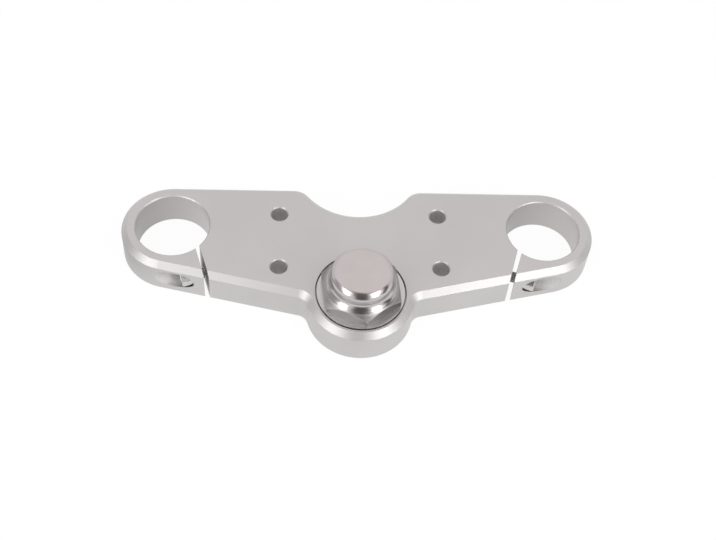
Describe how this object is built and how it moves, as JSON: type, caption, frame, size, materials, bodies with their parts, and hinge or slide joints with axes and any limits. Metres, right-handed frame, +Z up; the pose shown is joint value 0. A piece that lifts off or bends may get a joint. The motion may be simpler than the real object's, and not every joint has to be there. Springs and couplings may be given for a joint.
{
  "type": "motorcycle triple clamp",
  "caption": "Flat metal yoke with a split fork clamp at each end, a hex cap nut on the steering stem in the middle, a curved cut-out behind it and a riser bolt pattern.",
  "frame": {"origin": "steering stem axis at the flat bottom face of the clamp body", "axes": "+X across the bike to the right-hand fork clamp as seen in the picture, +Y ahead to the fork line, +Z up out of the nut"},
  "size_m": [0.2636, 0.1006, 0.041],
  "materials": {
    "billet": "fine satin, unpainted",
    "washer": "turned, plated",
    "nut": "polished",
    "bolt": "zinc plated"
  },
  "bodies": {
    "root": {"clamp_body": "billet", "stem_washer": "washer", "stem_nut": "nut", "pinch_bolt_left": "bolt", "pinch_bolt_right": "bolt"}
  },
  "joints": []
}
